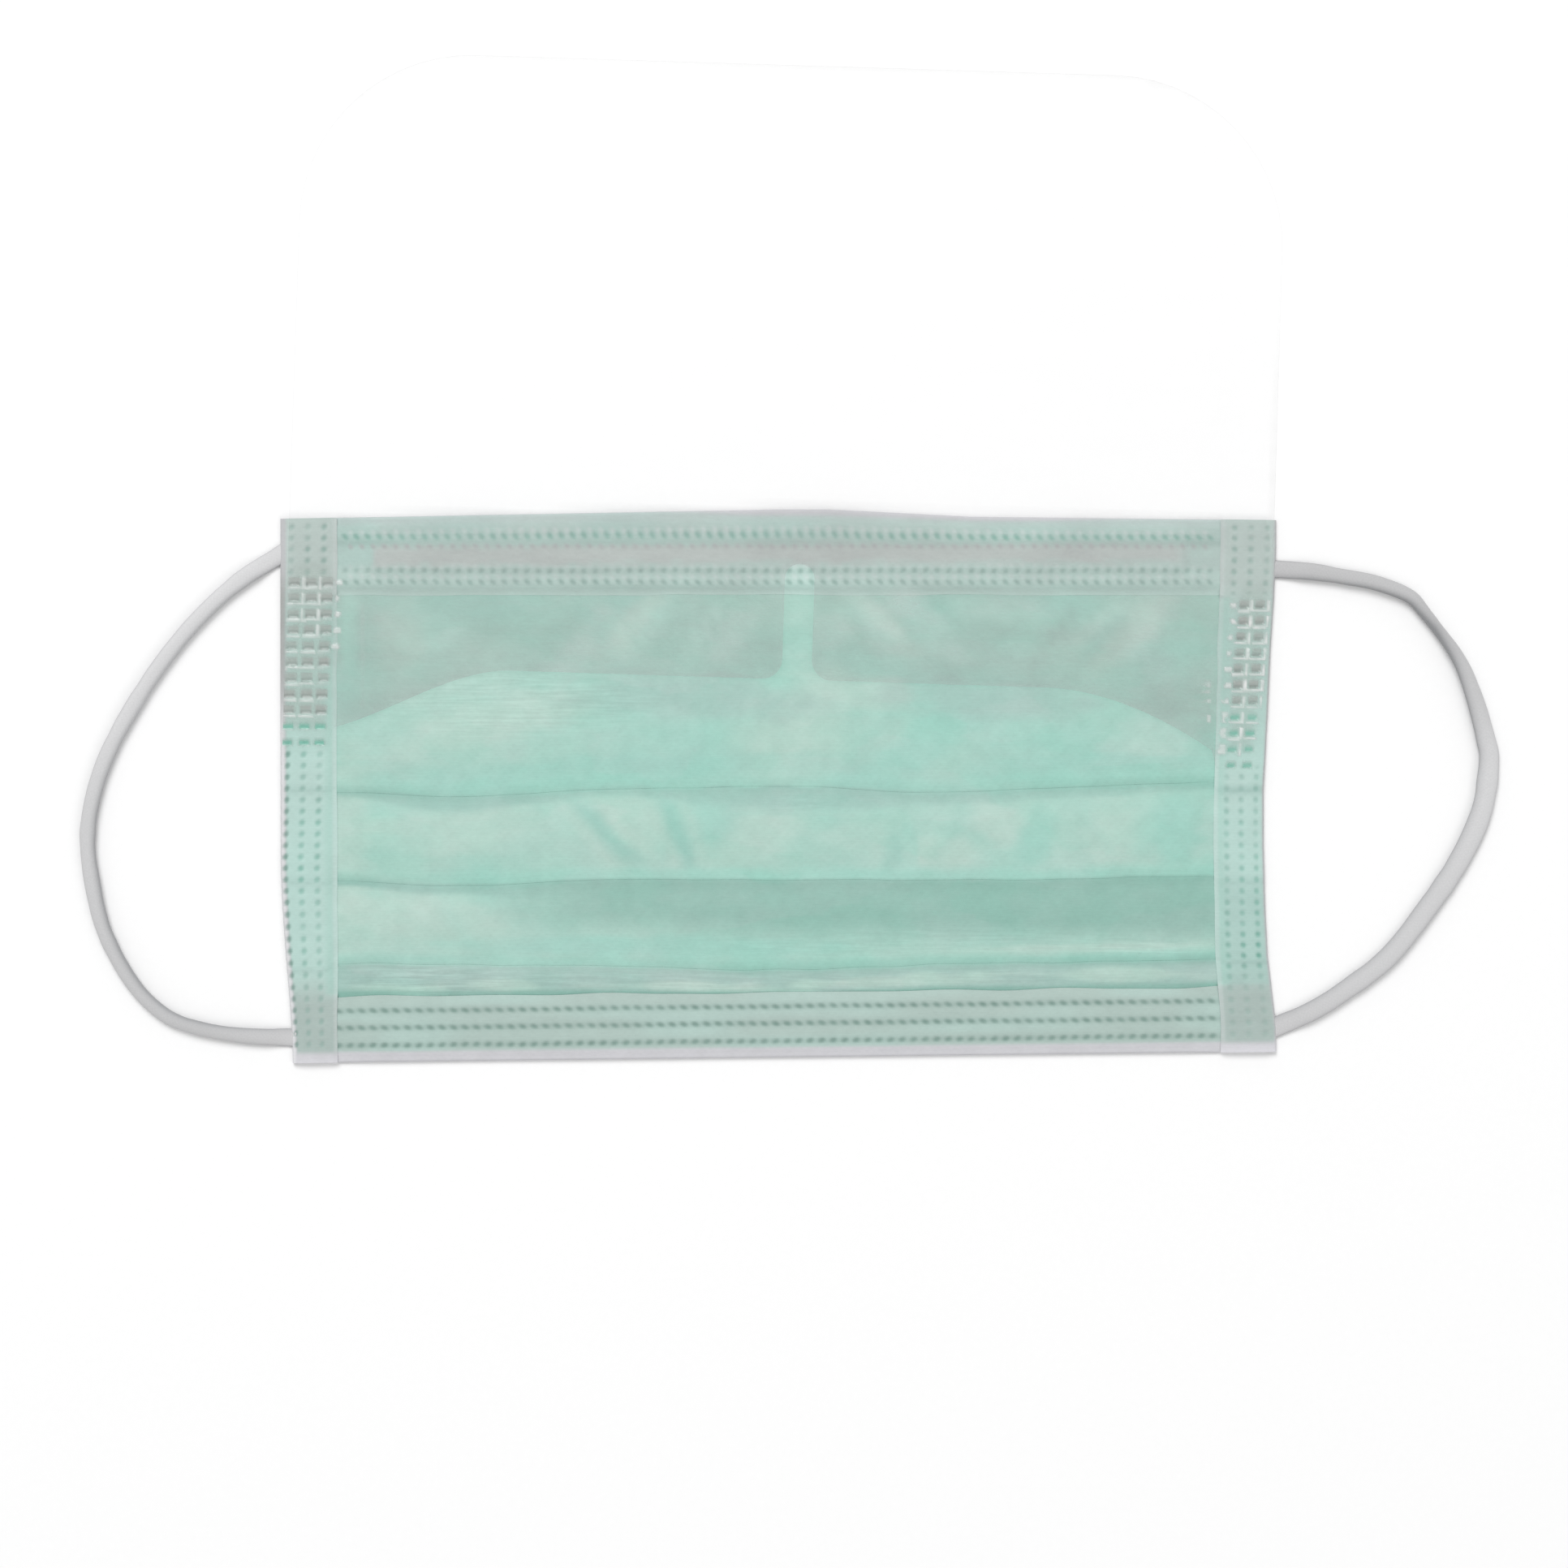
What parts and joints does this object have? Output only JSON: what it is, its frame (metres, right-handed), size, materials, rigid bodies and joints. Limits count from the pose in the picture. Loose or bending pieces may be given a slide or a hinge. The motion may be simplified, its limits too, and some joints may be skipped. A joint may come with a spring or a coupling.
{
  "type": "pleated face mask with visor",
  "caption": "Flat-lying pleated cloth face mask with hemmed edges, a hidden nose wire, elastic ear loops and a clear visor film welded to its side bindings.",
  "frame": {"origin": "on the surface that the mask lies on, under the middle of the mask's back", "axes": "+X to the right of the mask's front, +Y towards its nose edge and the visor's top, +Z away from the surface"},
  "size_m": [0.2488, 0.1774, 0.0055],
  "materials": {
    "mint_cloth": "matte spunbond nonwoven, mint front and white back",
    "white_cloth": "thin white spunbond nonwoven with rows of weld dots",
    "wire_plastic": "plastic-coated bendable strip",
    "visor_film": "clear polyester film",
    "elastic": "soft knitted elastic"
  },
  "bodies": {
    "root": {"pleated_panel": "mint_cloth", "upper_hem": "white_cloth", "lower_hem": "white_cloth", "nose_wire": "wire_plastic", "side_binding_left": "white_cloth", "side_binding_right": "white_cloth", "visor": "visor_film", "ear_loop_left": "elastic", "ear_loop_right": "elastic"}
  },
  "joints": []
}
